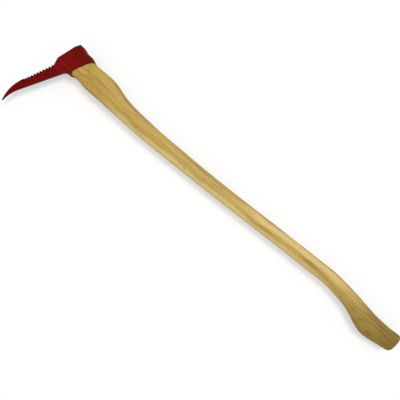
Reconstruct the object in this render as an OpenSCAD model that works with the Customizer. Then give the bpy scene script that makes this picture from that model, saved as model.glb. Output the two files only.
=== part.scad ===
// Log pick: a forged and painted pick head on a long curved ash handle.
// The tool lies on its side. X runs along the axis of the eye to the butt of the handle,
// Y points to the poll, so the pick reaches toward -Y, and Z is the thickness of the tool.
// The origin is on the lower cheek, straight below the centre of the eye.

/* [Eye] */
// Length of the eye at its rim, from the pick side to the poll side
eye_l = 59.8; // [54:0.2:66]
// Thickness of the eye at its rim, from cheek to cheek
eye_t = 37; // [32:0.5:42]
// Height of the eye along its axis
eye_h = 49.5; // [44:0.5:60]
// How much wider each side of the eye is at the top than at the rim
eye_flare = 0.8; // [0:0.1:1.5]
// How square the eye is, where 2 is an ellipse
eye_square = 3.2; // [2.4:0.1:4]

/* [Head body] */
// Wall between the eye and each flat cheek
cheek_wall = 4.5; // [3:0.1:7]
// Depth of the flat on each cheek, cut from the oval collar
cheek_flat = 1.9; // [0.5:0.1:2.4]
// Wall behind the eye, on the poll side
back_wall = 6.5; // [4:0.1:10]
// Wall in front of the eye, on the pick side
front_wall = 4.1; // [3:0.1:8]
// Thickness of the lip where the walls run out at the rim
lip_t = 0.9; // [0.6:0.1:2]
// Length over which the back wall thins to the lip
lip_len = 11.5; // [6:0.5:16]
// Length over which the front wall thins to the lip
front_lip_len = 6; // [3:0.5:9]
// Slope of the top of the head, in degrees from square to the handle
top_slope = 15.3; // [5:0.1:20]
// Slope of the rim, in degrees from square to the handle
rim_slope = 23.2; // [10:0.2:26]
// Distance in front of the axis where the sloping rim becomes square
rim_break = 19.6; // [10:0.2:24]

/* [Poll] */
// Width of the striking face
poll_w = 32; // [26:1:44]
// Height of the striking face along the eye
poll_h = 13.8; // [8:0.1:20]
// How far the striking face stands out from the back wall
poll_out = 3.6; // [2:0.1:6]
// Length of the slope from the striking face down to the back wall
poll_step = 4.6; // [3:0.2:8]
// Length over which the poll narrows from the cheeks to the striking face
poll_taper = 13; // [6:0.5:14]

/* [Neck] */
// Distance from the front wall back to the edge of the cheeks
cheek_edge = 12; // [8:0.2:15]
// Length of the taper from the cheeks to the blade of the pick
neck_len = 19; // [15:0.2:26]
// Distance from the blade's start to the first tooth
neck_top_len = 4.3; // [4:0.1:12]
// How far the first tooth stands above the top corner of the cheeks
neck_rise = 5.4; // [4:0.1:9]
// Depth of the nick in front of the first tooth
nick_depth = 2.4; // [2:0.1:3.8]
// Radius of the hollow between the underside of the pick and the eye
throat_r = 10; // [5:0.5:16]

/* [Pick] */
// Slope of the toothed spine, in degrees
spine_angle = 23.3; // [16:0.1:30]
// Slope of the underside, in degrees
under_angle = 27.3; // [22:0.1:32]
// Radius of the beak along its top
beak_r = 97; // [80:1:130]
// Turn of the beak along its top, in degrees
beak_turn = 41; // [34:0.2:46]
// Radius of the beak along its underside
beak_under_r = 101; // [90:1:130]
// Thickness of the blade at the neck
blade_t = 15; // [10:0.5:18]
// Thickness of the blade at the tip
tip_t = 2.4; // [1:0.1:5]
// Height of the blunt tip
tip_h = 2.5; // [1:0.1:4]

/* [Teeth] */
// Number of teeth
tooth_n = 10; // [6:1:11]
// Pitch of the teeth
tooth_pitch = 8.3; // [6:0.1:9]
// Depth of the teeth
tooth_depth = 4; // [2:0.1:4.5]
// Width of the land on each tooth
tooth_land = 0.5; // [0.3:0.1:1]
// Share of the pitch that falls toward the tip
tooth_lean = 0.35; // [0.2:0.01:0.7]
// Length of plain spine between the last tooth and the beak
spine_run = 7.8; // [2:0.2:12]
// Number of short teeth toward the tip
short_teeth = 2; // [0:1:4]
// Size of each short tooth against the one before it
tooth_shrink = 0.83; // [0.7:0.01:1]

/* [Handle hump] */
// Distance from the rim to where the handle starts to swell
shoulder_gap = 2; // [0.5:0.5:8]
// Length over which the handle swells below the head
swell_len = 10; // [8:1:24]
// Place of the swell's middle across the tool
swell_y = -0.9; // [-6:0.1:6]
// Width of the swell
swell_w = 61; // [58:0.2:68]
// Length of the hump below the swell
hump_len = 58; // [30:1:64]
// Place of the hump's middle across the tool
hump_y = -0.7; // [-6:0.1:6]
// Width of the hump
hump_w = 62.4; // [56:0.2:70]
// Thickness of the hump
hump_t = 38.5; // [32:0.5:42]
// Length of the step from the hump down to the shaft
step_len = 50; // [30:1:80]
// Place of the step's foot across the tool
step_y = -6.5; // [-12:0.1:0]
// Width at the foot of the step
step_w = 51.6; // [46:0.2:58]
// Thickness at the foot of the step
step_t = 35; // [28:0.5:40]

/* [Handle shaft] */
// Length of the taper below the step
taper_len = 85; // [60:1:120]
// Place of the shaft's back bend across the tool
back_bend_y = -8.4; // [-16:0.1:0]
// Width at the back bend
back_bend_w = 45.8; // [40:0.2:52]
// Thickness at the back bend
back_bend_t = 32; // [26:0.5:38]
// Length of the bend that leads into the straight shaft
lead_len = 124; // [80:1:160]
// Place of the straight shaft's start across the tool
shaft_start_y = -3.6; // [-10:0.1:4]
// Width at the start of the straight shaft
shaft_start_w = 41.8; // [36:0.2:48]
// Length of the straight shaft
shaft_len = 398; // [200:1:500]
// Place of the straight shaft's end across the tool
shaft_end_y = 24.1; // [14:0.1:32]
// Width of the shaft
shaft_w = 40; // [34:0.2:46]
// Thickness of the shaft
shaft_t = 29; // [24:0.5:34]

/* [Handle butt] */
// Length from the end of the straight shaft to the crest of the bend
crest_len = 74; // [50:1:100]
// Place of the crest across the tool
crest_y = 28.7; // [20:0.1:36]
// Length from the crest to the calf
calf_len = 69; // [50:1:90]
// Place of the calf across the tool
calf_y = 22.5; // [14:0.1:30]
// Width of the calf
calf_w = 44.5; // [40:0.2:50]
// Length from the calf to the heel
heel_len = 78; // [60:1:100]
// Place of the heel across the tool
heel_y = 7.5; // [0:0.1:16]
// Width of the heel
heel_w = 58.7; // [50:0.2:66]
// Thickness of the heel
heel_t = 33; // [28:0.5:38]
// Length from the heel to the instep
instep_len = 44; // [30:1:60]
// Place of the instep across the tool
instep_y = 11.3; // [4:0.1:18]
// Width of the instep
instep_w = 51.7; // [46:0.2:58]
// Length from the instep to the end of the butt
butt_len = 33; // [20:1:50]
// Place of the end of the butt across the tool
butt_y = 15.9; // [8:0.1:24]
// Width of the end of the butt
butt_w = 49; // [44:0.2:56]
// Thickness of the end of the butt
butt_t = 31; // [26:0.5:36]
// Radius of the round on the end of the butt
butt_round = 9; // [4:0.5:12]
// How far the end of the butt bulges
butt_crown = 2.5; // [0.5:0.1:5]

/* [Wedges] */
// How far the handle stands above the top of the head
tongue_proud = 1.5; // [0:0.1:3]
// Gap between the handle and the wall of the eye
fit_gap = 0.05; // [0.02:0.01:0.15]
// Depth of the saw cut in the end of the handle
kerf_depth = 36; // [30:0.5:40]
// Width of the opened saw cut at the end of the handle
kerf_top = 6.4; // [4:0.1:8]
// Width of the saw cut at its bottom
kerf_bottom = 1.6; // [1:0.1:3]
// Gap between the wooden wedge and the bottom of the saw cut
wedge_short = 4; // [1:0.5:8]
// How far each end of the wooden wedge stays inside the eye
wedge_inset = 2; // [0.5:0.1:5]
// Number of steel wedges
steel_n = 2; // [1:1:2]
// Distance between the steel wedges
steel_spacing = 26; // [16:0.5:30]
// Length of each steel wedge
steel_len = 24; // [16:0.5:28]
// Width of each steel wedge, across the wooden one
steel_w = 25; // [16:0.5:28]
// Thickness of each steel wedge at its head
steel_t = 3.6; // [2.5:0.1:5]
// Thickness of each steel wedge at its point
steel_point = 0.8; // [0.5:0.1:1.5]
// Number of barbs on each side of a steel wedge
barb_n = 3; // [2:1:5]
// Height of each barb
barb_h = 0.4; // [0.2:0.05:0.6]

/* [Hidden] */

sides = 40;            // points around each section of the handle
loft_step = 15;        // greatest distance between two sections of the handle
arc_step = 3;          // degrees between two points of an arc
end_rings = 5;         // sections in the round on the end of the butt
over = 1;              // how far a cutting tool reaches past what it cuts

head_t = eye_t + 2 * cheek_wall;
mid_z = head_t / 2;
back_y = eye_l / 2 + back_wall;
front_y = -eye_l / 2 - front_wall;
poll_y = back_y + poll_out;
cheek_y = front_y + cheek_edge;
blade_y = cheek_y - neck_len;

// Places along X of the sloping top of the head and of its rim
function top_x(y) = -eye_h / 2 + y * tan(top_slope);
function rim_x(y) = eye_h / 2 + max(y, -rim_break) * tan(rim_slope);
rim_end = rim_x(eye_l / 2 + lip_t);

// Half length and half thickness of the eye, which narrows toward the rim
function flare_at(x) = eye_flare * (eye_h / 2 - x) / eye_h;
function eye_half_l(x) = eye_l / 2 + flare_at(x);
function eye_half_t(x) = eye_t / 2 + flare_at(x);

// A point of an oval with half axes a and b, at angle t
function power(v, e) = sign(v) * pow(abs(v), e);
function oval(a, b, square, t) = [a * power(cos(t), 2 / square), b * power(sin(t), 2 / square)];

// The pick's outline is drawn as a path. Headings turn from -Y toward -X.
function along(heading) = [-sin(heading), -cos(heading)];
function outward(heading) = [-cos(heading), sin(heading)];
function arc_path(start, heading, radius, turn) =
    let(steps = ceil(turn / arc_step))
    [for (i = [0:steps])
        let(h = heading - turn * i / steps)
        start + radius * (outward(h) - outward(heading))];

// Distance along the spine of tooth k, where the last teeth are short
full_teeth = tooth_n - short_teeth;
function tooth_scale(k) = k < full_teeth ? 1 : pow(tooth_shrink, k - full_teeth + 1);
function tooth_at(k) = k == 0 ? 0 : tooth_at(k - 1) + tooth_pitch * tooth_scale(k - 1);

spine_start = [top_x(cheek_y) - neck_rise, blade_y - neck_top_len];
spine_end = spine_start + (tooth_at(tooth_n) + spine_run) * along(spine_angle);
beak_top = arc_path(spine_end, spine_angle, beak_r, beak_turn);
tip = beak_top[len(beak_top) - 1];
under_arc = arc_path([0, 0], under_angle, beak_under_r, under_angle);
beak_under = [for (p = under_arc) tip + [tip_h, 0] + p - under_arc[len(under_arc) - 1]];

// The hollow of the throat, tangent to the underside and to the front wall
corner = beak_under[0] + (front_y - beak_under[0].y) * [tan(under_angle), 1];
throat_turn = 90 - under_angle;
throat_end = corner + throat_r * tan(throat_turn / 2) * [1, 0];
throat_centre = throat_end - [0, throat_r];
throat_steps = ceil(throat_turn / arc_step);
throat = [for (i = [0:throat_steps])
    let(a = 90 + throat_turn * i / throat_steps)
    throat_centre + throat_r * [cos(a), sin(a)]];

// Sections of the handle below the head: x, middle, width, thickness, squareness
shoulder = rim_end + shoulder_gap;
lengths = [0, swell_len, hump_len, step_len, taper_len, lead_len, shaft_len,
           crest_len, calf_len, heel_len, instep_len, butt_len];
middles = [0, swell_y, hump_y, step_y, back_bend_y, shaft_start_y, shaft_end_y,
           crest_y, calf_y, heel_y, instep_y, butt_y];
widths = [2 * eye_half_l(shoulder) - 2 * fit_gap, swell_w, hump_w, step_w, back_bend_w,
          shaft_start_w, shaft_w, shaft_w, calf_w, heel_w, instep_w, butt_w];
depths = [2 * eye_half_t(shoulder) - 2 * fit_gap, hump_t, hump_t, step_t, back_bend_t,
          shaft_t, shaft_t, shaft_t, shaft_t, heel_t, butt_t, butt_t];
squares = [eye_square, eye_square, 3, 2.6, 2.4, 2.3, 2.3, 2.3, 2.3, 2.4, 2.5, 2.5];

function sum_to(list, i) = i < 0 ? 0 : list[i] + sum_to(list, i - 1);
places = [for (i = [0:len(lengths) - 1]) shoulder + sum_to(lengths, i)];
last = len(places) - 1;
butt_x = places[last];

// Slope of a row of values at section i, from its two neighbours
function rise(v, i) = (v[i + 1] - v[i]) / (places[i + 1] - places[i]);
function slope_at(v, i) =
    i == 0 ? rise(v, 0) :
    i == last ? rise(v, last - 1) :
    let(before = places[i] - places[i - 1], after = places[i + 1] - places[i])
    (after * rise(v, i - 1) + before * rise(v, i)) / (before + after);

// A smooth curve through a row of values, a share t of the way from section i to the next
function smooth_at(v, i, t) =
    let(h = places[i + 1] - places[i])
    (2 * t ^ 3 - 3 * t ^ 2 + 1) * v[i] + (t ^ 3 - 2 * t ^ 2 + t) * h * slope_at(v, i)
    + (3 * t ^ 2 - 2 * t ^ 3) * v[i + 1] + (t ^ 3 - t ^ 2) * h * slope_at(v, i + 1);

// One closed ring of points: place along X, middle, half width, half thickness, squareness
function ring(x, y, a, b, square) =
    [for (k = [0:sides - 1])
        let(p = oval(a, b, square, 360 * k / sides)) [x, y + p.x, mid_z + p.y]];

// A ring of the eye whose place along X follows the slope of the top, moved by an offset
function top_ring(offset_x, gap) =
    [for (k = [0:sides - 1])
        let(t = 360 * k / sides,
            y = oval(eye_half_l(-eye_h / 2), 1, eye_square, t).x,
            x = top_x(y) + offset_x,
            p = oval(eye_half_l(x) - gap, eye_half_t(x) - gap, eye_square, t))
        [x, p.x, mid_z + p.y]];
function eye_ring(x, gap) = ring(x, 0, eye_half_l(x) - gap, eye_half_t(x) - gap, eye_square);

body_rings = [for (i = [0:last - 1])
    let(n = ceil((places[i + 1] - places[i]) / loft_step))
    for (j = [0:n - 1])
        let(t = j / n, x = places[i] + t * (places[i + 1] - places[i]))
        if (x < butt_x - butt_round)
            ring(x, smooth_at(middles, i, t), smooth_at(widths, i, t) / 2,
                 smooth_at(depths, i, t) / 2, smooth_at(squares, i, t))];

// The round on the end of the butt, and a last ring that crowns it
round_rings = [for (i = [0:end_rings])
    let(a = 90 * i / end_rings,
        x = butt_x - butt_round + butt_round * sin(a),
        inset = butt_round * (1 - cos(a)),
        t = 1 - (butt_x - x) / butt_len)
    ring(x, smooth_at(middles, last - 1, t), smooth_at(widths, last - 1, t) / 2 - inset,
         smooth_at(depths, last - 1, t) / 2 - inset, squares[last])];
crown_ring = ring(butt_x + butt_crown, butt_y, butt_w / 8, butt_t / 8, squares[last]);

// Skin between rings, closed by a flat face at each end
module loft(rings) {
    n = len(rings[0]);
    ends = len(rings) - 1;
    polyhedron(
        points = [for (r = rings) each r],
        faces = concat(
            [[for (k = [0:n - 1]) k]],
            [for (i = [0:ends - 1], k = [0:n - 1])
                [i * n + k, (i + 1) * n + k, (i + 1) * n + (k + 1) % n, i * n + (k + 1) % n]],
            [[for (k = [n - 1:-1:0]) ends * n + k]]));
}

// A flat shape drawn in Y and Z, pushed along X from one place to another
module along_x(from, to)
    translate([from, 0, mid_z]) rotate([90, 0, 90]) linear_extrude(to - from) children();

// Outline of the head as seen on its cheek
module side_outline()
    polygon(concat(
        [[top_x(poll_y), poll_y],
         [top_x(poll_y) + poll_h, poll_y],
         [top_x(poll_y) + poll_h + poll_step, back_y],
         [rim_end - lip_len, back_y],
         [rim_end, eye_l / 2 + lip_t],
         [rim_x(-rim_break), -rim_break],
         [rim_x(-rim_break), -eye_l / 2 - lip_t],
         [rim_x(-rim_break) - front_lip_len, front_y]],
        throat,
        beak_under,
        [for (i = [len(beak_top) - 1:-1:0]) beak_top[i]],
        [spine_start,
         spine_start + nick_depth * [1, 1],
         [top_x(cheek_y), cheek_y]]));

// The collar as seen along the handle is an oval. The flat cheeks cut it off where it is thicker than they are.
collar_l = back_y - front_y;
collar_y = (back_y + front_y) / 2;
collar_t = mid_z + cheek_flat;
function collar_half(y) = collar_t * pow(1 - pow(2 * abs(y - collar_y) / collar_l, eye_square), 1 / eye_square);

// Half of the outline seen along the handle, from the back of the collar over the neck to the tip of the beak
plan_half = concat(
    [for (k = [1:sides - 1])
        let (p = oval(collar_l / 2, collar_t, eye_square, 180 * k / sides))
        if (collar_y + p.x > cheek_y + over) [collar_y + p.x, p.y]],
    [[cheek_y, collar_half(cheek_y)], [blade_y, blade_t / 2], [tip.y, tip_t / 2]]);

// Outline of the collar, the neck and the blade as seen along the handle
module plan_outline()
    polygon(concat(
        [[back_y, 0]],
        plan_half,
        [for (i = [len(plan_half) - 1:-1:0]) [plan_half[i].x, -plan_half[i].y]]));

// The poll is square where it is struck and widens to the cheeks. A slope ends it on the back of the collar.
function poll_half(y) = poll_w / 2 + (mid_z - poll_w / 2) * (poll_y - y) / poll_taper;
function poll_end_x(y) = top_x(poll_y) + poll_h + over + poll_step * (poll_y - y) / poll_out;
module poll_block() {
    end_y = poll_y + over;
    intersection() {
        linear_extrude(head_t)
            polygon([[top_x(0) - eye_h, 0], [top_x(0) - eye_h, end_y],
                [poll_end_x(end_y), end_y], [poll_end_x(0), 0]]);
        along_x(top_x(0) - eye_h, poll_end_x(0))
            polygon([[0, poll_half(0)], [end_y, poll_half(end_y)],
                [end_y, -poll_half(end_y)], [0, -poll_half(0)]]);
    }
}

// The gap between tooth k and the next one, which reaches out past the line of the teeth
module tooth_gap(k) {
    from = spine_start + (tooth_at(k) + tooth_land) * along(spine_angle);
    to = spine_start + tooth_at(k + 1) * along(spine_angle);
    bottom = from + tooth_lean * (to - from) - tooth_depth * tooth_scale(k) * outward(spine_angle);
    reach = 1 + over / tooth_depth;
    polygon([bottom, bottom + reach * (to - bottom), bottom + reach * (from - bottom)]);
}

module pick_head() color("firebrick") difference() {
    intersection() {
        linear_extrude(head_t) side_outline();
        union() {
            along_x(top_x(0) - eye_h - abs(tip.x), rim_end + over) plan_outline();
            poll_block();
        }
    }
    loft([eye_ring(top_x(0) - eye_h, 0), eye_ring(rim_end + eye_h, 0)]);
    for (k = [0:tooth_n - 1])
        translate([0, 0, -over]) linear_extrude(head_t + 2 * over) tooth_gap(k);
}

// Wedge-shaped slab that fills the saw cut, down to a given depth
module kerf(depth, half_l, gap) {
    share = depth / kerf_depth;
    head_x = top_x(0) - tongue_proud;
    half_bottom = (kerf_top + (kerf_bottom - kerf_top) * share) / 2 - gap;
    reach = back_y * tan(top_slope);
    half_reach = kerf_top / 2 - gap + (kerf_top - kerf_bottom) / 2 * reach / kerf_depth;
    translate([0, half_l, mid_z]) rotate([90, 0, 0]) linear_extrude(2 * half_l)
        polygon([[head_x - reach, -half_reach], [head_x + depth, -half_bottom],
                 [head_x + depth, half_bottom], [head_x - reach, half_reach]]);
}

// A steel wedge, or the slot that it cuts when there is a gap
module steel_wedge(y, gap) {
    head_x = top_x(y) - tongue_proud;
    pitch = steel_len / barb_n;
    function half_at(s) = (steel_t + (steel_point - steel_t) * s / steel_len) / 2;
    edge = [for (i = [0:barb_n - 1])
        each [[i * pitch, half_at(i * pitch) + gap],
              [(i + 1) * pitch, half_at((i + 1) * pitch) - barb_h / 2 + gap]]];
    outline = concat(
        [for (p = edge) [head_x + p.x, y + p.y]],
        [for (i = [len(edge) - 1:-1:0]) [head_x + edge[i].x, y - edge[i].y]]);
    translate([0, 0, mid_z - steel_w / 2 - gap])
        linear_extrude(steel_w + 2 * gap) polygon(outline);
}

module steel_row(gap)
    for (i = [0:steel_n - 1])
        steel_wedge((i - (steel_n - 1) / 2) * steel_spacing, gap);

module handle() color("burlywood") difference() {
    loft(concat([top_ring(-tongue_proud, fit_gap), eye_ring(rim_x(-rim_break), fit_gap)],
                body_rings, round_rings, [crown_ring]));
    kerf(kerf_depth, eye_l, 0);
    steel_row(fit_gap);
}

module wooden_wedge() color("peru") difference() {
    intersection() {
        kerf(kerf_depth - wedge_short, eye_l / 2 - wedge_inset, fit_gap);
        linear_extrude(head_t) polygon([
            [top_x(back_y) - tongue_proud, back_y], [top_x(front_y) - tongue_proud, front_y],
            [rim_end, front_y], [rim_end, back_y]]);
    }
    steel_row(fit_gap);
}

module steel_wedges() color("silver") steel_row(0);

pick_head();
handle();
wooden_wedge();
steel_wedges();
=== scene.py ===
"""A log pick: a forged, painted pick head on a long curved ash handle, dressed over its packed model."""

import math

import bmesh
import bpy
from bpy.props import FloatProperty, FloatVectorProperty, IntProperty, PointerProperty
from mathutils import Matrix, Vector, noise
from mathutils.geometry import intersect_point_line


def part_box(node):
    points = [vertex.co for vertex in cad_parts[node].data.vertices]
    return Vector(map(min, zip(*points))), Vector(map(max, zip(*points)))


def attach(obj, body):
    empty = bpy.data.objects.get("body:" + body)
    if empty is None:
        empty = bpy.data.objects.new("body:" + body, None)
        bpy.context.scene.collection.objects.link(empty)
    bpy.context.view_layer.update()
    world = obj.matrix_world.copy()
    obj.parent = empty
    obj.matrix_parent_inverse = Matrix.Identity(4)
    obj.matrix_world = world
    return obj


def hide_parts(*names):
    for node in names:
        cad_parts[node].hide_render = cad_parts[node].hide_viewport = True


bl_info = {
    "name": "Log pick",
    "version": (1, 0, 0),
    "blender": (4, 5, 0),
    "location": "3D View > Sidebar > Log pick",
    "description": "Forges the pick head, shapes the ash handle, drives the wedges and sets the stage",
    "category": "Object",
}

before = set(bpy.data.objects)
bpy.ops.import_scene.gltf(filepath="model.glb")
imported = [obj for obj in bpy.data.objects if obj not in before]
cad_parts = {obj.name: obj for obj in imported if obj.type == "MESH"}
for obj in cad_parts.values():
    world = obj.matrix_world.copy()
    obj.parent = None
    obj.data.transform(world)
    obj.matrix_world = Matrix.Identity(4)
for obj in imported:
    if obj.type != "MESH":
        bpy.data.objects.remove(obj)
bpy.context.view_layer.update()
MM = 0.001
BODY = "root"

# The head is alike above and below the middle plane of the tool
HEAD_LOW, HEAD_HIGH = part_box("pick_head")
MID_Z = (HEAD_LOW.z + HEAD_HIGH.z) / 2
HEAD_T = HEAD_HIGH.z - HEAD_LOW.z


# Properties

def length(label, mm, text):
    """A length property whose default is given in millimetres."""
    return FloatProperty(name=label, description=text, default=mm * MM, unit="LENGTH", subtype="DISTANCE",
                         precision=4)


def angle(label, degrees, text):
    """An angle property whose default is given in degrees."""
    return FloatProperty(name=label, description=text, default=math.radians(degrees), unit="ROTATION",
                         subtype="ANGLE")


def factor(label, value, text, high=1.0):
    """A plain number property."""
    return FloatProperty(name=label, description=text, default=value, min=0.0, max=high, precision=3)


def linear(red, green, blue):
    """Linear colour of a colour that is given as 8-bit screen values."""
    def channel(value):
        share = value / 255
        return share / 12.92 if share <= 0.04045 else ((share + 0.055) / 1.055) ** 2.4
    return channel(red), channel(green), channel(blue)


def colour(label, rgb, text):
    """A colour property whose default is given as 8-bit screen values."""
    return FloatVectorProperty(name=label, description=text, default=linear(*rgb), subtype="COLOR", size=3,
                               min=0.0, max=1.0)


class LogPickEye(bpy.types.PropertyGroup):
    """The eye of the head and the tongue of the handle that fills it."""
    length: length("Length", 59.8, "Length of the eye at its rim, from the pick side to the poll side")
    thickness: length("Thickness", 37, "Thickness of the eye at its rim, from cheek to cheek")
    height: length("Height", 49.5, "Height of the eye along its axis")
    flare: length("Flare", 0.8, "How much wider each side of the eye is at the top than at the rim")
    square: factor("Squareness", 3.2, "How square the eye is, where 2 is an ellipse", 6)
    top_slope: angle("Top slope", 15.3, "Slope of the top of the head from square to the handle")
    fit_gap: length("Gap", 0.05, "Gap between the handle and the wall of the eye")
    proud: length("Proud", 1.5, "How far the handle stands above the top of the head")


class LogPickHead(bpy.types.PropertyGroup):
    """The forging round the eye, and the pick that grows from it."""
    cheek_flat: length("Cheek flat", 1.9, "Depth of the flat on each cheek, cut from the oval collar")
    back_wall: length("Back wall", 6.5, "Wall behind the eye, on the poll side")
    front_wall: length("Front wall", 4.1, "Wall in front of the eye, on the pick side")
    lip: length("Lip", 0.9, "Thickness of the lip where the walls run out at the rim")
    lip_length: length("Back lip length", 11.5, "Length over which the back wall thins to the lip")
    front_lip_length: length("Front lip length", 6, "Length over which the front wall thins to the lip")
    rim_slope: angle("Rim slope", 23.2, "Slope of the rim from square to the handle")
    rim_break: length("Rim break", 19.6, "Distance in front of the axis where the sloping rim becomes square")
    poll_width: length("Poll width", 32, "Width of the striking face")
    poll_height: length("Poll height", 13.8, "Height of the striking face along the eye")
    poll_out: length("Poll reach", 3.6, "How far the striking face stands out from the back wall")
    poll_step: length("Poll step", 4.6, "Length of the slope from the striking face to the back wall")
    poll_taper: length("Poll taper", 13, "Length over which the poll narrows from the cheeks to its face")
    cheek_edge: length("Cheek edge", 12, "Distance from the front wall back to the edge of the cheeks")
    neck_length: length("Neck length", 19, "Length of the taper from the cheeks to the blade of the pick")
    neck_top: length("Neck top", 4.3, "Distance from the start of the blade to the first tooth")
    neck_rise: length("Neck rise", 5.4, "How far the first tooth stands above the top corner of the cheeks")
    nick: length("Nick", 2.4, "Depth of the nick in front of the first tooth")
    throat: length("Throat", 10, "Radius of the hollow between the underside and the eye")
    spine_angle: angle("Spine angle", 23.3, "Slope of the toothed spine")
    under_angle: angle("Underside angle", 27.3, "Slope of the underside")
    beak: length("Beak radius", 97, "Radius of the beak along its top")
    beak_turn: angle("Beak turn", 41, "Turn of the beak along its top")
    beak_under: length("Beak under radius", 101, "Radius of the beak along its underside")
    blade: length("Blade", 15, "Thickness of the blade at the neck")
    tip: length("Tip", 2.4, "Thickness of the blade at the tip")
    tip_height: length("Tip height", 2.5, "Height of the blunt tip")
    spine_run: length("Plain spine", 7.8, "Length of plain spine between the last tooth and the beak")
    edge: length("Edge round", 1.8, "Radius of the forged edges of the collar, the neck and the pick")
    spine_edge: length("Spine round", 0.5, "Radius of the edges of the toothed spine")
    back_flat: length("Back flat", 5, "Half width of the flat down the back of the collar")
    lip_edge: length("Lip round", 0.35, "Radius of the edges of the thin lips at the rim")
    crease: length("Crease", 2.4, "Half width of the soft edge between cheek, neck and blade")
    unevenness: length("Unevenness", 0.18, "Depth of the shallow hollows that the hammer leaves")


class LogPickTeeth(bpy.types.PropertyGroup):
    """The teeth on the spine of the pick."""
    count: IntProperty(name="Teeth", description="Number of teeth", default=10, min=1, max=11)
    short: IntProperty(name="Short teeth", description="Number of short teeth toward the tip", default=2,
                       max=4)
    pitch: length("Pitch", 8.3, "Pitch of the teeth")
    depth: length("Depth", 4, "Depth of the teeth")
    land: length("Land", 0.5, "Width of the land on each tooth")
    lean: factor("Lean", 0.35, "Share of the pitch that falls toward the tip")
    shrink: factor("Shrink", 0.83, "Size of each short tooth against the one before it")
    bottom: factor("Bottom round", 0.12, "Share of each gap's depth that is taken by its blunt bottom")


class LogPickHandle(bpy.types.PropertyGroup):
    """How finely the handle is shaped, and its saw cut."""
    sides: IntProperty(name="Sides", description="Points round each section", default=72, min=24)
    step: length("Step", 5, "Distance between two sections")
    chamfer: length("Chamfer", 0.8, "Chamfer round the end of the tongue")


class LogPickWedges(bpy.types.PropertyGroup):
    """The wedges that hold the handle in the eye."""
    count: IntProperty(name="Steel wedges", description="Number of steel wedges", default=2, min=1, max=2)
    spacing: length("Spacing", 26, "Distance between the steel wedges")
    length: length("Length", 24, "Length of each steel wedge")
    width: length("Width", 25, "Width of each steel wedge, across the wooden one")
    head: length("Head", 3.6, "Thickness of each steel wedge at its head")
    point: length("Point", 0.8, "Thickness of each steel wedge at its point")
    barbs: IntProperty(name="Barbs", description="Number of barbs on each side", default=3, min=1)
    barb: length("Barb", 0.4, "Height of each pair of barbs")
    edge: length("Edge round", 0.2, "Radius of the edges of each steel wedge")


class LogPickFinish(bpy.types.PropertyGroup):
    """Colours of the paint, the woods and the steel."""
    paint: colour("Paint", (124, 0, 0), "Red paint of the head")
    paint_brown: colour("Brown paint", (112, 16, 10), "Red paint where it is duller")
    # Painted highlight: the lighter paint on the neck and along its creases
    painted_highlight: colour("Light paint", (164, 32, 36), "Paint on the neck and on the soft creases beside it")
    paint_dark: colour("Dark paint", (32, 2, 4), "Paint over the teeth and along the edges")
    steel: colour("Steel", (120, 118, 116), "Bare steel of the wedges and of the worn tips")
    ash_light: colour("Light ash", (195, 163, 76), "Late wood of the ash")
    ash_dark: colour("Dark ash", (148, 112, 42), "Early wood of the ash")
    ash_warm: colour("Warm ash", (200, 160, 82), "Warm patches of the ash")
    # Painted light on the ash: a pale band low on the shaft and a highlight before the grip
    painted_light_ash: colour("Painted light on ash", (230, 203, 134), "Pale sapwood along the shaft")
    fleck: colour("Fleck", (140, 98, 40), "Small dark flecks in the ash")
    beech_light: colour("Light beech", (188, 146, 104), "Light wood of the wooden wedge")
    beech_dark: colour("Dark beech", (148, 104, 68), "Dark wood of the wooden wedge")


class LogPickStage(bpy.types.PropertyGroup):
    """The camera, the lamps and the floor."""
    camera_x: length("Camera X", 461.2, "Place of the camera along the tool")
    camera_y: length("Camera Y", -45.15, "Place of the camera across the tool")
    camera_height: length("Camera height", 1000, "Height of the camera above the middle of the tool")
    lens: factor("Lens", 36, "Focal length in millimetres, on a film 36 mm wide", 200)
    turn: angle("Camera turn", 42.29, "Turn of the picture's right side from the +X axis")
    key: factor("Key", 0.48, "Share of the light on a level surface that comes from the lamp")
    key_height: angle("Key height", 66, "Height of the lamp above the floor")
    key_side: angle("Key side", 88, "Direction of the lamp, turned from the +X axis")
    key_angle: angle("Key angle", 24, "Width of the lamp, which softens the shadow")
    fill: factor("Fill", 0.54, "Brightness of the white room as it lights the tool", 10)
    reflection: factor("Reflection", 0.08, "Brightness of the room in reflections", 10)
    lift: factor("Lift", 0.5, "How much of the floor's white stays in the shadow")


# Meshes

def new_object(name, data):
    """A new object in the scene."""
    made = bpy.data.objects.new(name, data)
    bpy.context.scene.collection.objects.link(made)
    return made


def new_piece(name, mesh, sharp, material, nodes):
    """Makes a mesh a piece on the tool's one body. Edges sharper than a number of degrees stay sharp."""
    mesh.name = name
    mesh.shade_smooth()
    mesh.set_sharp_from_angle(angle=math.radians(sharp))
    piece = new_object(name, mesh)
    mesh.materials.clear()
    mesh.materials.append(material)
    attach(piece, BODY)
    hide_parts(*nodes)


def discard(made):
    """Removes an object and its mesh."""
    mesh = made.data
    bpy.data.objects.remove(made)
    bpy.data.meshes.remove(mesh)


def bake_modifiers(made):
    """Turns an object's modifiers into a plain mesh and removes the object."""
    graph = bpy.context.evaluated_depsgraph_get()
    mesh = bpy.data.meshes.new_from_object(made.evaluated_get(graph), preserve_all_data_layers=True,
                                           depsgraph=graph)
    discard(made)
    return mesh


def cut(mesh, cutters):
    """Takes the cutters, which are meshes, away from a mesh."""
    body = new_object("work", mesh)
    tools = [new_object("cutter", cutter) for cutter in cutters]
    for tool in tools:
        modifier = body.modifiers.new("cut", "BOOLEAN")
        modifier.operation = "DIFFERENCE"
        modifier.solver = "EXACT"
        modifier.object = tool
    result = bake_modifiers(body)
    for tool in tools:
        discard(tool)
    return result


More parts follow.
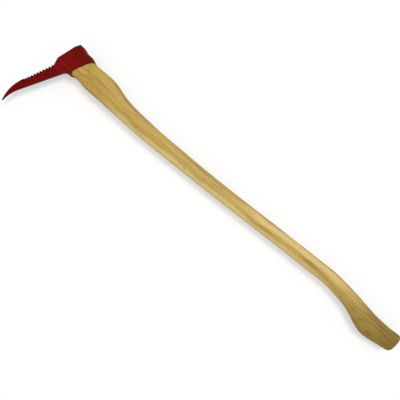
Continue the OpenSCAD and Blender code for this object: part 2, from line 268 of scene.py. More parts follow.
def closed_outward(mesh):
    """Joins points that coincide and turns the faces of a mesh outward."""
    shape = bmesh.new()
    shape.from_mesh(mesh)
    bmesh.ops.remove_doubles(shape, verts=shape.verts, dist=1e-7)
    bmesh.ops.recalc_face_normals(shape, faces=shape.faces)
    shape.to_mesh(mesh)
    shape.free()
    return mesh


def clamped(value):
    """A value held between 0 and 1."""
    return min(1.0, max(0.0, value))


def power(value, exponent):
    """A power that keeps the sign."""
    return math.copysign(abs(value) ** exponent, value)


def oval(a, b, square, turn):
    """A point of an oval with half axes a and b, at a turn in radians."""
    return a * power(math.cos(turn), 2 / square), b * power(math.sin(turn), 2 / square)


def top_x(eye, y):
    """Place along X of the sloping top of the head."""
    return -eye.height / 2 + y * math.tan(eye.top_slope)


def eye_half(eye, x, gap=0.0):
    """Half length and half thickness of the eye at a place along X."""
    flare = eye.flare * (eye.height / 2 - x) / eye.height
    return eye.length / 2 + flare - gap, eye.thickness / 2 + flare - gap


def eye_ring(eye, x, sides):
    """A ring round the wall of the eye."""
    a, b = eye_half(eye, x)
    corners = [oval(a, b, eye.square, 2 * math.pi * k / sides) for k in range(sides)]
    return [Vector((x, y, MID_Z + z)) for y, z in corners]


# Nodes

def tree_of(*values):
    """The tree that the first wire among some values belongs to."""
    return next(value.tree for value in values if isinstance(value, Wire))


def is_vector(value):
    """Whether a value or a wire is a vector."""
    return isinstance(value, tuple) or isinstance(value, Wire) and value.socket.type == "VECTOR"


def maths(operation, a, b=0.0, clamp=False):
    """The result of a Math node, or of a Vector Math node if the first value is a vector."""
    tree = tree_of(a, b)
    if not is_vector(a):
        return node(tree, "ShaderNodeMath", {0: a, 1: b}, operation=operation, use_clamp=clamp)[0]
    if operation == "MULTIPLY" and not is_vector(b):
        return node(tree, "ShaderNodeVectorMath", {0: a, "Scale": b}, operation="SCALE")[0]
    return node(tree, "ShaderNodeVectorMath", {0: a, 1: b}, operation=operation)[0]


def both_sides(operation):
    """The two methods behind an operator, for a wire on its left and for one on its right."""
    return (lambda wire, other: maths(operation, wire, other),
            lambda wire, other: maths(operation, other, wire))


class Wire:
    """An output of a node. Sums, products and powers of wires add the nodes that work them out."""
    __add__, __radd__ = both_sides("ADD")
    __sub__, __rsub__ = both_sides("SUBTRACT")
    __mul__, __rmul__ = both_sides("MULTIPLY")
    __truediv__, __rtruediv__ = both_sides("DIVIDE")
    __mod__, __rmod__ = both_sides("MODULO")
    __pow__, __rpow__ = both_sides("POWER")

    def __init__(self, tree, socket):
        self.tree, self.socket = tree, socket

    def __getitem__(self, part):
        """The X, Y or Z of a vector."""
        return node(self.tree, "ShaderNodeSeparateXYZ", {0: self})[part]

    def step(self, low, high, to_low=0.0, to_high=1.0):
        """A smooth step between two values of the wire."""
        return node(self.tree, "ShaderNodeMapRange", {
            "Value": self, "From Min": low, "From Max": high, "To Min": to_low, "To Max": to_high},
            interpolation_type="SMOOTHSTEP")["Result"]

    def mix(self, a, b, mode="MIX"):
        """Two colours mixed, where the wire is the share of the second one."""
        # The colour sockets of the node are inputs 6 and 7 and output 2
        return node(self.tree, "ShaderNodeMix", {0: self, 6: a, 7: b}, data_type="RGBA", blend_type=mode)[2]

    def bump(self, strength, distance):
        """The surface's direction, where the wire is its height."""
        return node(self.tree, "ShaderNodeBump", {"Height": self, "Strength": strength,
                                                  "Distance": distance})[0]


class Node:
    """A node in a tree. Its outputs are read as wires, by name or number."""

    def __init__(self, tree, raw):
        self.tree, self.raw = tree, raw

    def __getitem__(self, key):
        return Wire(self.tree, self.raw.outputs[key])

    def feed(self, inputs):
        """Sets inputs to values, or links them to wires."""
        for key, value in inputs.items():
            socket = self.raw.inputs[key]
            if isinstance(value, Wire):
                self.tree.links.new(value.socket, socket)
            elif socket.type == "RGBA":
                socket.default_value = (*value, 1.0)
            else:
                socket.default_value = value


def node(tree, kind, inputs=None, **settings):
    """Adds a node, with its settings and its input values or links."""
    made = Node(tree, tree.nodes.new(kind))
    for key, value in settings.items():
        setattr(made.raw, key, value)
    made.feed(inputs or {})
    return made


def combine(x=0.0, y=0.0, z=0.0):
    """A vector from its three parts."""
    return node(tree_of(x, y, z), "ShaderNodeCombineXYZ", {"X": x, "Y": y, "Z": z})[0]


def new_tree(kind, name, inputs, outputs):
    """A node tree with its two end nodes. The labels of its inputs and outputs are listed by socket type."""
    tree = bpy.data.node_groups.new(name, kind)
    for side, sockets in (("INPUT", inputs), ("OUTPUT", outputs)):
        for socket_type, labels in sockets.items():
            for label in labels.split(", "):
                tree.interface.new_socket(label, in_out=side, socket_type="NodeSocket" + socket_type)
    return tree, node(tree, "NodeGroupInput"), node(tree, "NodeGroupOutput")


def empty_tree(owner):
    """The node tree of a material or a world, without any nodes."""
    owner.use_nodes = True
    owner.node_tree.nodes.clear()
    return owner.node_tree


# Geometry Nodes

def new_shape_tree(name, inputs):
    """A Geometry Nodes tree that takes a geometry, a material and named sizes."""
    return new_tree("GeometryNodeTree", name, {"Geometry": "Geometry", "Material": "Material", **inputs},
                    {"Geometry": "Geometry"})


def end_tree(tree, sizes, end, geometry):
    """Ends a tree in Realize Instances and Set Material."""
    real = node(tree, "GeometryNodeRealizeInstances", {"Geometry": geometry})[0]
    made = node(tree, "GeometryNodeSetMaterial", {"Geometry": real, "Material": sizes["Material"]})
    end.feed({"Geometry": made[0]})
    return tree


def run_tree(tree, mesh, values):
    """Runs a tree on a mesh with its named inputs, and returns a plain closed mesh."""
    made = new_object("work", mesh)
    modifier = made.modifiers.new("nodes", "NODES")
    modifier.node_group = tree
    for socket in tree.interface.items_tree:
        if socket.in_out == "INPUT" and socket.name in values:
            modifier[socket.identifier] = values[socket.name]
    return closed_outward(bake_modifiers(made))


def row_of(count, instance, offset, scale=(1.0, 1.0, 1.0)):
    """Instances at a row of points, each moved and scaled by its own values."""
    tree = instance.tree
    points = node(tree, "GeometryNodeMeshLine", {"Count": count, "Offset": (0.0, 0.0, 0.0)})[0]
    moved = node(tree, "GeometryNodeSetPosition", {"Geometry": points, "Offset": offset})[0]
    return node(tree, "GeometryNodeInstanceOnPoints", {"Points": moved, "Instance": instance,
                                                       "Scale": scale})[0]


def build_tooth_gaps():
    """A row of prisms that cut the gaps between the teeth. It starts at the origin and runs to +X."""
    tree, sizes, end = new_shape_tree("Tooth gaps", {
        "Int": "Teeth, Short teeth", "Float": "Shrink, Pitch, Depth, Land, Lean, Bottom round, Width"})
    gap = sizes["Pitch"] - sizes["Land"]
    bottom = combine(sizes["Lean"] * gap, sizes["Depth"] * -1.0)
    to_first = bottom * -1.0
    to_last = to_first + combine(gap)
    # The flanks run on past the spine, but not so far that they would meet over the land
    reach = 1.0 + 0.4 * (sizes["Land"] / gap)
    blunt = sizes["Bottom round"]
    corners = {f"Point {i + 1}": bottom + flank * share for i, (flank, share) in enumerate((
        (to_first, reach), (to_first, blunt), (to_last, blunt), (to_last, reach)))}
    profile = node(tree, "GeometryNodeCurvePrimitiveQuadrilateral", corners, mode="POINTS")[0]
    half = sizes["Width"] * 0.5
    path = node(tree, "GeometryNodeCurvePrimitiveLine", {"Start": combine(z=half * -1.0),
                                                         "End": combine(z=half)})[0]
    prism = node(tree, "GeometryNodeCurveToMesh", {"Curve": path, "Profile Curve": profile,
                                                   "Fill Caps": True})[0]
    full = sizes["Teeth"] - sizes["Short teeth"]
    past = maths("MAXIMUM", 0.0, 1.0 + (node(tree, "GeometryNodeInputIndex")[0] - full))
    scale = sizes["Shrink"] ** past
    before = node(tree, "GeometryNodeAccumulateField", {"Value": scale})["Trailing"]
    width = sizes["Pitch"] * scale - sizes["Land"]
    return end_tree(tree, sizes, end, row_of(sizes["Teeth"], prism, combine(sizes["Pitch"] * before),
                                             combine(width / gap, scale, 1.0)))


def build_barbed_wedges():
    """A row of barbed wedges on a sloping line, middle on the origin, each pointing to +X."""
    tree, sizes, end = new_shape_tree("Barbed wedges", {
        "Int": "Wedges, Barbs", "Float": "Spacing, Slope, Length, Width, Head, Point, Barb"})
    sheet = node(tree, "GeometryNodeMeshGrid", {"Vertices X": sizes["Barbs"] * 2.0, "Vertices Y": 2})[0]
    # The points of the sheet are numbered across it first, and each barb has a wide row and a narrow one
    index = node(tree, "GeometryNodeInputIndex")[0]
    side = index % 2.0 * 2.0 - 1.0
    row = maths("FLOOR", index / 2.0)
    narrow = row % 2.0
    barb = maths("FLOOR", row / 2.0)
    last = maths("COMPARE", barb, sizes["Barbs"] - 1.0)
    share = (barb + narrow * (0.9 + last * 0.1)) / sizes["Barbs"]
    thick = sizes["Head"] + share * (sizes["Point"] - sizes["Head"])
    half = 0.5 * (thick - narrow * sizes["Barb"])
    place = combine(share * sizes["Length"], side * half, sizes["Width"] * -0.5)
    sheet = node(tree, "GeometryNodeSetPosition", {"Geometry": sheet, "Position": place})[0]
    both = node(tree, "GeometryNodeJoinGeometry")
    both.feed({0: node(tree, "GeometryNodeExtrudeMesh", {
        "Mesh": sheet, "Offset": (0.0, 0.0, 1.0), "Offset Scale": sizes["Width"], "Individual": False})[0]})
    both.feed({0: node(tree, "GeometryNodeFlipFaces", {"Mesh": sheet})[0]})
    wedge = node(tree, "GeometryNodeMergeByDistance", {"Geometry": both[0], "Distance": 1e-6})[0]
    from_middle = (index - (sizes["Wedges"] - 1.0) * 0.5) * sizes["Spacing"]
    rise = from_middle * maths("TANGENT", sizes["Slope"])
    return end_tree(tree, sizes, end, row_of(sizes["Wedges"], wedge, combine(rise, from_middle)))


def capture(geometry, value):
    """Keeps a vector with each point of a geometry. Returns the geometry and the kept vector."""
    made = node(geometry.tree, "GeometryNodeCaptureAttribute")
    made.raw.capture_items.new("VECTOR", "Kept")
    made.feed({0: geometry, 1: value})
    return made[0], made[1]


def build_handle_skin():
    """A skin over a line of sections, each an oval with its own sizes, slope and taper.

    Each point keeps its place across the handle as "across", from -1 on the pick's side to 1 on the poll's.
    """
    tree, sizes, end = new_shape_tree("Handle skin", {"Int": "Sides"})
    width, thickness, square, slope, taper = (
        node(tree, "GeometryNodeInputNamedAttribute", {"Name": name}, data_type="FLOAT")["Attribute"]
        for name in SECTION_SIZES)
    place = node(tree, "GeometryNodeInputPosition")[0]
    path, centre = capture(node(tree, "GeometryNodeMeshToCurve", {"Mesh": sizes["Geometry"]})[0], place)
    circle, turn = capture(node(tree, "GeometryNodeCurvePrimitiveCircle", {
        "Resolution": sizes["Sides"], "Radius": 1.0})[0], place)
    skin = node(tree, "GeometryNodeCurveToMesh", {"Curve": path, "Profile Curve": circle, "Fill Caps": True})
    halves = width, thickness
    out = [half * maths("SIGN", turn[part]) * maths("ABSOLUTE", turn[part]) ** (2.0 / square)
           for half, part in zip(halves, "XY")]
    shift = slope * out[0]
    grown = [size * (1.0 + taper * shift / half) for size, half in zip(out, halves)]
    moved = node(tree, "GeometryNodeSetPosition", {"Geometry": skin[0],
                                                   "Position": centre + combine(shift, *grown)})
    marked = node(tree, "GeometryNodeStoreNamedAttribute", {
        "Geometry": moved[0], "Name": "across", "Value": turn["X"]}, data_type="FLOAT")
    return end_tree(tree, sizes, end, marked[0])


# The head

def along(heading):
    """Direction of a path on the cheek. Headings turn from -Y toward -X."""
    return Vector((-math.sin(heading), -math.cos(heading)))


def outward(heading):
    """Direction square to a path, away from the handle."""
    return Vector((-math.cos(heading), math.sin(heading)))


def arc_path(start, heading, radius, turn, step=math.radians(2)):
    """Points along an arc that starts at a heading and turns back from it."""
    steps = math.ceil(turn / step)
    turns = [heading - turn * i / steps for i in range(steps + 1)]
    return [start + radius * (outward(h) - outward(heading)) for h in turns]


class HeadForm:
    """The forms that the head is forged to, all in the plane of the cheek."""

    def __init__(self, eye, head, teeth):
        self.eye, self.head = eye, head
        self.back_y = eye.length / 2 + head.back_wall
        self.front_y = -eye.length / 2 - head.front_wall
        self.poll_y = self.back_y + head.poll_out
        self.cheek_y = self.front_y + head.cheek_edge
        self.blade_y = self.cheek_y - head.neck_length
        self.collar_y = (self.back_y + self.front_y) / 2
        self.collar_half = (self.back_y - self.front_y) / 2
        flat_share = (HEAD_T / 2) / (HEAD_T / 2 + head.cheek_flat)
        self.flat_end = self.collar_y + self.collar_half * (1 - flat_share ** eye.square) ** (1 / eye.square)
        poll_end = Vector((top_x(eye, self.poll_y) + head.poll_height, self.poll_y))
        self.poll_slope = poll_end, Vector((head.poll_step, -head.poll_out)).normalized()
        self.spine_start = Vector((top_x(eye, self.cheek_y) - head.neck_rise, self.blade_y - head.neck_top))
        self.tooth_scales = tooth_scales(teeth)
        spine_length = teeth.pitch * sum(self.tooth_scales) + head.spine_run
        self.spine_end = self.spine_start + spine_length * along(head.spine_angle)
        self.beak_top = arc_path(self.spine_end, head.spine_angle, head.beak, head.beak_turn)
        self.tip = self.beak_top[-1]
        under = arc_path(Vector((0, 0)), head.under_angle, head.beak_under, head.under_angle)
        self.beak_under = [self.tip + Vector((head.tip_height, 0)) + p - under[-1] for p in under]

    def rim_x(self, y):
        """Place along X of the rim."""
        return self.eye.height / 2 + max(y, -self.head.rim_break) * math.tan(self.head.rim_slope)

    def throat(self):
        """The hollow of the throat, tangent to the underside and to the front wall."""
        radius, slope = self.head.throat, self.head.under_angle
        start = self.beak_under[0]
        corner = start + (self.front_y - start.y) * Vector((math.tan(slope), 1))
        turn = math.pi / 2 - slope
        centre = corner + Vector((radius * math.tan(turn / 2), -radius))
        steps = 12
        turns = [math.pi / 2 + turn * i / steps for i in range(steps + 1)]
        return [centre + radius * Vector((math.cos(t), math.sin(t))) for t in turns]

    def outline(self):
        """Corners of the untoothed head seen on its cheek, each with the radius of its edge."""
        eye, head = self.eye, self.head
        lip_y = eye.length / 2 + head.lip
        poll_x = top_x(eye, self.poll_y)
        rim_end = self.rim_x(lip_y)
        front_rim = self.rim_x(-head.rim_break)
        nick = self.spine_start + Vector((head.nick, head.nick))
        thick, thin, spine = head.edge, head.lip_edge, head.spine_edge
        corners = [((poll_x, self.poll_y), thick),
                   ((poll_x + head.poll_height, self.poll_y), thick),
                   ((poll_x + head.poll_height + head.poll_step, self.back_y), thick),
                   ((rim_end - head.lip_length, self.back_y), thick),
                   ((rim_end, lip_y), thin),
                   ((front_rim, -head.rim_break), thin),
                   ((front_rim, -lip_y), thin),
                   ((front_rim - head.front_lip_length, self.front_y), thin)]
        corners += [(p, thick) for p in self.throat()]
        corners += [(p, thick) for p in self.beak_under + self.beak_top[:0:-1]]
        corners += [(self.spine_end, spine), (self.spine_start, spine), (nick, thick),
                    ((top_x(eye, self.cheek_y), self.cheek_y), thick)]
        return [(Vector(p), min(radius, 0.8 * self.plan_half(p[1]))) for p, radius in corners]

    def oval_half(self, y):
        """Half the thickness of the oval that the collar is cut from."""
        share = min(1.0, abs(y - self.collar_y) / self.collar_half)
        widest = HEAD_T / 2 + self.head.cheek_flat
        return widest * (1 - share ** self.eye.square) ** (1 / self.eye.square)

    def sharp_plan_half(self, y):
        """Half the thickness of the collar, the neck and the blade, before their creases are softened."""
        if y >= self.cheek_y:
            return max(self.head.back_flat, min(HEAD_T / 2, self.oval_half(y)))
        stops = [(self.cheek_y, self.oval_half(self.cheek_y)), (self.blade_y, self.head.blade / 2),
                 (self.tip.y, self.head.tip / 2)]
        for (y0, half0), (y1, half1) in zip(stops, stops[1:]):
            if y >= y1:
                return half0 + (half1 - half0) * (y - y0) / (y1 - y0)
        return self.head.tip / 2

    def plan_half(self, y):
        """Half the thickness of the collar, the neck and the blade, with soft creases beside the neck."""
        soft = self.head.crease
        if y > self.cheek_y + 2 * soft or y < self.blade_y - 2 * soft:
            return self.sharp_plan_half(y)
        samples = 9
        offsets = [soft * (2 * i / (samples - 1) - 1) for i in range(samples)]
        return sum(self.sharp_plan_half(y + offset) for offset in offsets) / samples

    def past_poll(self, x, y):
        """Distance below the slope that ends the square poll. It is negative on the poll."""
        start, way = self.poll_slope
        return (y - start.y) * way.x - (x - start.x) * way.y

    def half_thickness(self, x, y):
        """Half the thickness of the head. The poll widens to the cheeks and blends into the collar below."""
        collar = self.plan_half(y)
        if y <= self.flat_end:
            return collar
        share = max(0.0, (y - self.poll_y) / self.head.poll_taper + 1)
        poll = HEAD_T / 2 + (self.head.poll_width / 2 - HEAD_T / 2) * share
        soft = self.head.edge
        fade = clamped(0.5 - self.past_poll(x, y) / (2 * soft))
        return collar + max(0.0, poll - collar) * fade * fade * (3 - 2 * fade)


def tooth_scales(teeth):
    """Size of each tooth, where the last ones are short."""
    full = teeth.count - teeth.short
    return [1.0 if k < full else teeth.shrink ** (k - full + 1) for k in range(teeth.count)]


def inset_ring(corners, share):
    """The outline moved inward by a share of each corner's radius."""
    moved = []
    count = len(corners)
    for i, (point, radius) in enumerate(corners):
        before, after = corners[i - 1][0], corners[(i + 1) % count][0]
        way_in = (point - before).normalized()
        way_out = (after - point).normalized()
        inward = Vector((way_in.y + way_out.y, -way_in.x - way_out.x)).normalized()
        miter = max(0.5, inward.dot(Vector((way_out.y, -way_out.x))))
        moved.append(point + inward * radius * share / miter)
    return moved


def head_half(form, spacing=3 * MM, edge_steps=4):
    """The upper half of the head: the cheek's outline with rounded edges, cut into strips, then raised."""
    corners = form.outline()
    shape = bmesh.new()
    rings = []
    for i in range(edge_steps + 1):
        turn = math.pi / 2 * i / edge_steps
        points = inset_ring(corners, 1 - math.cos(turn))
        drops = [radius * (1 - math.sin(turn)) for _, radius in corners]
        rings.append([shape.verts.new((p.x, p.y, -drop)) for p, drop in zip(points, drops)])
    count = len(corners)
    for outer, inner in zip(rings, rings[1:]):
        for k in range(count):
            after = (k + 1) % count
            shape.faces.new([outer[k], outer[after], inner[after], inner[k]])
    shape.faces.new(rings[-1])
    (left, right), (low, high) = ((min(values), max(values)) for values in zip(*(p for p, _ in corners)))
    places = [low + spacing * i for i in range(1, int((high - low) / spacing))]
    places += [form.cheek_y, form.blade_y, form.flat_end, form.poll_y - form.head.poll_taper]
    places += [form.collar_y + form.collar_half * math.cos(math.radians(turn)) ** (2 / form.eye.square)
               for turn in range(4, 88, 4)]
    cuts = [(Vector((0, y, 0)), Vector((0, 1, 0))) for y in places]
    cuts += [(Vector((left + spacing * i, 0, 0)), Vector((1, 0, 0)))
             for i in range(1, int((right - left) / spacing))]
    start, way = form.poll_slope
    square_to_slope = Vector((way.y, -way.x, 0))
    cuts += [(start.to_3d() + form.head.edge * share * square_to_slope, square_to_slope)
             for share in (-1, -0.5, 0, 0.5, 1)]
    for place, normal in cuts:
        everything = shape.verts[:] + shape.edges[:] + shape.faces[:]
        bmesh.ops.bisect_plane(shape, geom=everything, plane_co=place, plane_no=normal, dist=1e-6)
    hollow_size = 18 * MM
    for vert in shape.verts:
        rough = 0.0
        if vert.co.z > -1e-7:
            hollow = noise.noise(Vector((vert.co.x, vert.co.y, 0)) / hollow_size)
            rough = form.head.unevenness * (hollow - 1) / 2
        vert.co.z = MID_Z + form.half_thickness(vert.co.x, vert.co.y) + vert.co.z + rough
    return shape


def head_blank(form):
    """The whole untoothed head as a closed mesh, without its eye."""
    shape = head_half(form)
    rim = [edge for edge in shape.edges if edge.is_boundary]
    below = {vert: shape.verts.new((vert.co.x, vert.co.y, 2 * MID_Z - vert.co.z)) for vert in shape.verts[:]}
    for face in shape.faces[:]:
        shape.faces.new([below[vert] for vert in reversed(face.verts)])
    # A row of points round the middle lets the paint change between the two edges of each side
    middle = {vert: shape.verts.new((vert.co.x, vert.co.y, MID_Z)) for edge in rim for vert in edge.verts}
    for edge in rim:
        a, b = edge.verts
        shape.faces.new([a, b, middle[b], middle[a]])
        shape.faces.new([middle[a], middle[b], below[b], below[a]])
    bmesh.ops.recalc_face_normals(shape, faces=shape.faces)
    mesh = bpy.data.meshes.new("head_blank")
    shape.to_mesh(mesh)
    shape.free()
    return mesh


def eye_cutter(eye):
    """A long tapered plug with the shape of the eye."""
    reach, sides = 2 * eye.height, 96
    flanks = [[k, sides + k, sides + (k + 1) % sides, (k + 1) % sides] for k in range(sides)]
    mesh = bpy.data.meshes.new("eye_cutter")
    mesh.from_pydata(eye_ring(eye, -reach, sides) + eye_ring(eye, reach, sides), [],
                     [list(range(sides)), *flanks, list(range(sides, 2 * sides))])
    return closed_outward(mesh)


def tooth_cutter(form, teeth):
    """The row of tooth gaps, laid along the spine of the pick."""
    mesh = run_tree(build_tooth_gaps(), bpy.data.meshes.new("tooth_cutter"), {
        "Teeth": teeth.count, "Short teeth": teeth.short, "Shrink": teeth.shrink, "Pitch": teeth.pitch,
        "Depth": teeth.depth, "Land": teeth.land, "Lean": teeth.lean, "Bottom round": teeth.bottom,
        "Width": 1.2 * HEAD_T})
    way, out = along(form.head.spine_angle), outward(form.head.spine_angle)
    start = form.spine_start + teeth.land * way
    mesh.transform(Matrix(((way.x, out.x, 0, start.x), (way.y, out.y, 0, start.y), (0, 0, -1, MID_Z),
                           (0, 0, 0, 1))))
    return mesh


def mark_edges(mesh, form):
    """Stores where the paint is dark: over the teeth, and as painted shade along the top and low on the other
    sides.
    """
    corners = [p.to_3d() for p, _ in form.outline()]
    lines = []
    for start, end in zip(corners, corners[1:] + corners[:1]):
        toothed = (start - form.spine_end.to_3d()).length < 1e-6
        # Outward is to the left of the way round, and the top of the pick faces -X
        on_top = end.y - start.y > abs(end.x - start.x) / 4 and start.x < 0
        lines.append((start, end, toothed, on_top))
    tooth_band, tooth_fade, top_band, low_band, middle_band = (
        size * MM for size in (5.5, 2.5, 3.2, 2, 0.01))
    middle_tone, low_tone = 0.1, 0.65
    marks = mesh.attributes.new("edge", "FLOAT", "POINT")
    for vert, mark in zip(mesh.vertices, marks.data):
        place = Vector((vert.co.x, vert.co.y, 0))
        nearest, toothed, on_top = math.inf, False, False
        for start, end, line_toothed, line_on_top in lines:
            share = intersect_point_line(place, start, end)[1]
            distance = (start.lerp(end, clamped(share)) - place).length
            if distance < nearest:
                nearest, toothed, on_top = distance, line_toothed, line_on_top
        if toothed:
            mark.value = clamped((tooth_band - nearest) / tooth_fade)
        elif nearest < middle_band and abs(vert.co.z - MID_Z) < middle_band:
            mark.value = middle_tone
        elif on_top:
            mark.value = max(0.0, 1 - nearest / top_band)
        elif vert.co.z < MID_Z:
            mark.value = low_tone * max(0.0, 1 - nearest / low_band)


class LOGPICK_OT_forge_head(bpy.types.Operator):
    """Forge the head, punch its eye and cut its teeth"""
    bl_idname = "logpick.forge_head"
    bl_label = "Forge the head"

    def execute(self, context):
        scene = context.scene
        form = HeadForm(scene.log_pick_eye, scene.log_pick_head, scene.log_pick_teeth)
        mesh = cut(head_blank(form), [eye_cutter(form.eye), tooth_cutter(form, scene.log_pick_teeth)])
        mark_edges(mesh, form)
        material = paint_material(scene.log_pick_finish, form)
        new_piece("forged_head", mesh, 35, material, ["pick_head"])
        return {"FINISHED"}


# The handle

SECTION_SIZES = ("half_width", "half_thickness", "squareness", "slope", "taper")


def handle_sections():
    """Sections of the packed handle below the eye: place, middle, half width, half thickness, squareness."""
    rings = {}
    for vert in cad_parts["handle"].data.vertices:
        rings.setdefault(round(vert.co.x, 5), set()).add((round(vert.co.y, 6), round(vert.co.z, 6)))
    sections = []
    full = max(len(points) for points in rings.values())
    for x in sorted(rings):
        points = rings[x]
        if len(points) < full:
            continue
        low, high = min(p[0] for p in points), max(p[0] for p in points)
        middle, half_w = (low + high) / 2, (high - low) / 2
        half_t = max(p[1] for p in points) - MID_Z
        # The point an eighth of the way round lies halfway between the two axes, and gives the squareness
        eighth = min(points, key=lambda p: abs((p[0] - middle) / half_w - (p[1] - MID_Z) / half_t)
                     if p[0] > middle and p[1] > MID_Z else math.inf)
        share = (eighth[0] - middle) / half_w
        square = 2 * math.log(math.cos(math.pi / 4)) / math.log(share)
        sections.append((x, middle, half_w, half_t, square))
    return sections


def smooth_between(sections, x):
    """The section at a place, on a smooth curve through the packed ones."""
    last = len(sections) - 1
    i = max(0, min(last - 1, sum(1 for s in sections if s[0] <= x) - 1))
    before, start, end, after = (sections[max(0, min(last, j))] for j in range(i - 1, i + 3))
    width = end[0] - start[0]
    t = (x - start[0]) / width
    values = []
    for v0, v1, v2, v3 in list(zip(before, start, end, after))[1:]:
        rise1 = (v2 - v0) / (end[0] - before[0]) * width
        rise2 = (v3 - v1) / (after[0] - start[0]) * width
        values.append((2 * t**3 - 3 * t**2 + 1) * v1 + (t**3 - 2 * t**2 + t) * rise1
                      + (3 * t**2 - 2 * t**3) * v2 + (t**3 - t**2) * rise2)
    return x, *values


def tongue_sections(eye, handle):
    """The chamfered end of the tongue: two sections that slope as the top of the head does."""
    slope, taper = math.tan(eye.top_slope), -eye.flare / eye.height
    sections = []
    for lower, gap in ((0.0, eye.fit_gap + handle.chamfer), (handle.chamfer, eye.fit_gap)):
        x = top_x(eye, 0) - eye.proud + lower
        sections.append((x, 0.0, *eye_half(eye, x, gap), eye.square, slope, taper))
    return sections


def handle_line(eye, handle):
    """The line of sections from the tongue to the butt, as a mesh that carries the sizes of each section."""
    body = handle_sections()
    places = []
    for start, end in zip(body, body[1:]):
        steps = max(1, math.ceil((end[0] - start[0]) / handle.step))
        places += [start[0] + (end[0] - start[0]) * i / steps for i in range(steps)]
    sections = tongue_sections(eye, handle)
    sections += [(*smooth_between(body, x), 0.0, 0.0) for x in places + [body[-1][0]]]
    mesh = bpy.data.meshes.new("handle_line")
    edges = [(i, i + 1) for i in range(len(sections) - 1)]
    mesh.from_pydata([(s[0], s[1], MID_Z) for s in sections], edges, [])
    for i, name in enumerate(SECTION_SIZES):
        values = mesh.attributes.new(name, "FLOAT", "POINT")
        values.data.foreach_set("value", [s[i + 2] for s in sections])
    return mesh


class LOGPICK_OT_shape_handle(bpy.types.Operator):
    """Shape the ash handle and saw the cut for the wedges"""
    bl_idname = "logpick.shape_handle"
    bl_label = "Shape the handle"

    def execute(self, context):
        scene = context.scene
        handle = scene.log_pick_handle
        wedges = [copy_of_node("wooden_wedge"), copy_of_node("steel_wedges")]
        material = ash_material(scene.log_pick_finish)
        blank = run_tree(build_handle_skin(), handle_line(scene.log_pick_eye, handle), {
            "Sides": handle.sides, "Material": material})
        new_piece("ash_handle", cut(blank, wedges), 30, material, ["handle"])
        return {"FINISHED"}


# The wedges

def copy_of_node(name):
    """A tidy copy of a packed node: loose triangles joined, flat faces merged."""
    shape = bmesh.new()
    shape.from_mesh(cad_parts[name].data)
    bmesh.ops.remove_doubles(shape, verts=shape.verts, dist=1e-6)
    bmesh.ops.dissolve_limit(shape, angle_limit=math.radians(0.2), verts=shape.verts, edges=shape.edges)
    mesh = bpy.data.meshes.new(name + "_copy")
    shape.to_mesh(mesh)
    shape.free()
    return mesh


def bevelled(mesh, width):
    """The mesh with a small round on its sharp edges."""
    made = new_object("work", mesh)
    modifier = made.modifiers.new("round", "BEVEL")
    modifier.width = width
    modifier.segments = 2
    modifier.limit_method = "ANGLE"
    modifier.angle_limit = math.radians(30)
    return bake_modifiers(made)


class LOGPICK_OT_drive_wooden_wedge(bpy.types.Operator):
    """Drive the wooden wedge into the saw cut"""
    bl_idname = "logpick.drive_wooden_wedge"
    bl_label = "Drive the wooden wedge"

    def execute(self, context):
        mesh = bevelled(copy_of_node("wooden_wedge"), 0.3 * MM)
        material = beech_material(context.scene.log_pick_finish)
        new_piece("beech_wedge", mesh, 40, material, ["wooden_wedge"])
        return {"FINISHED"}


class LOGPICK_OT_drive_steel_wedges(bpy.types.Operator):
    """Drive the barbed steel wedges across the wooden one"""
    bl_idname = "logpick.drive_steel_wedges"
    bl_label = "Drive the steel wedges"

    def execute(self, context):
        eye, wedges = context.scene.log_pick_eye, context.scene.log_pick_wedges
        material = steel_material(context.scene.log_pick_finish)
        mesh = run_tree(build_barbed_wedges(), bpy.data.meshes.new("wedges"), {
            "Material": material, "Wedges": wedges.count, "Spacing": wedges.spacing, "Slope": eye.top_slope,
            "Length": wedges.length, "Width": wedges.width, "Head": wedges.head, "Point": wedges.point,
            "Barbs": wedges.barbs, "Barb": wedges.barb})
        mesh.transform(Matrix.Translation((top_x(eye, 0) - eye.proud, 0, MID_Z)))
        mesh = bevelled(mesh, wedges.edge)
        new_piece("barbed_wedges", mesh, 40, material, ["steel_wedges"])
        return {"FINISHED"}


# Materials

def build_wood_grain():
    """Growth rings round a leaning pith, with their pores, in the colours of one wood."""
    tree, start, end = new_tree("ShaderNodeTree", "Wood grain", {
        "Vector": "Vector, Pith, Lean", "Float": "Ring width, Waviness", "Color": "Light, Dark"},
        {"Color": "Color", "Float": "Rings, Pores"})
    place = start["Vector"]

    def stretched_noise(stretch, detail=2.0):
        """Noise that is drawn out along the handle."""
        return node(tree, "ShaderNodeTexNoise", {"Vector": place * stretch, "Scale": 1.0,
                                                 "Detail": detail})[0]

    from_pith = place - (start["Pith"] + start["Lean"] * place["X"])
    flat = combine(0.0, from_pith["Y"], from_pith["Z"])
    radius = node(tree, "ShaderNodeVectorMath", {0: flat}, operation="LENGTH")["Value"]
    radius += (stretched_noise((2.2, 14.0, 14.0)) - 0.5) * start["Waviness"]
    rings = radius / start["Ring width"]
    share = maths("FRACT", rings)
    late = share.step(0.0, 0.3) * share.step(0.9, 1.0, 1.0, 0.0)
    year = node(tree, "ShaderNodeTexWhiteNoise", {"W": maths("FLOOR", rings)}, noise_dimensions="1D")["Value"]
    early = (1.0 - late) * (year * 0.5 + 0.5)
    pores = stretched_noise((60.0, 1500.0, 1500.0)).step(0.56, 0.7) * (early * 0.8 + 0.2)
    broad = stretched_noise((5.0, 30.0, 30.0), 3.0) - 0.5
    streak = stretched_noise((8.0, 330.0, 330.0)) - 0.45
    dark = maths("ADD", early * 0.6, broad * 0.6 + streak * 2.2, clamp=True)
    end.feed({"Color": dark.mix(start["Light"], start["Dark"]), "Rings": early, "Pores": pores})
    return tree


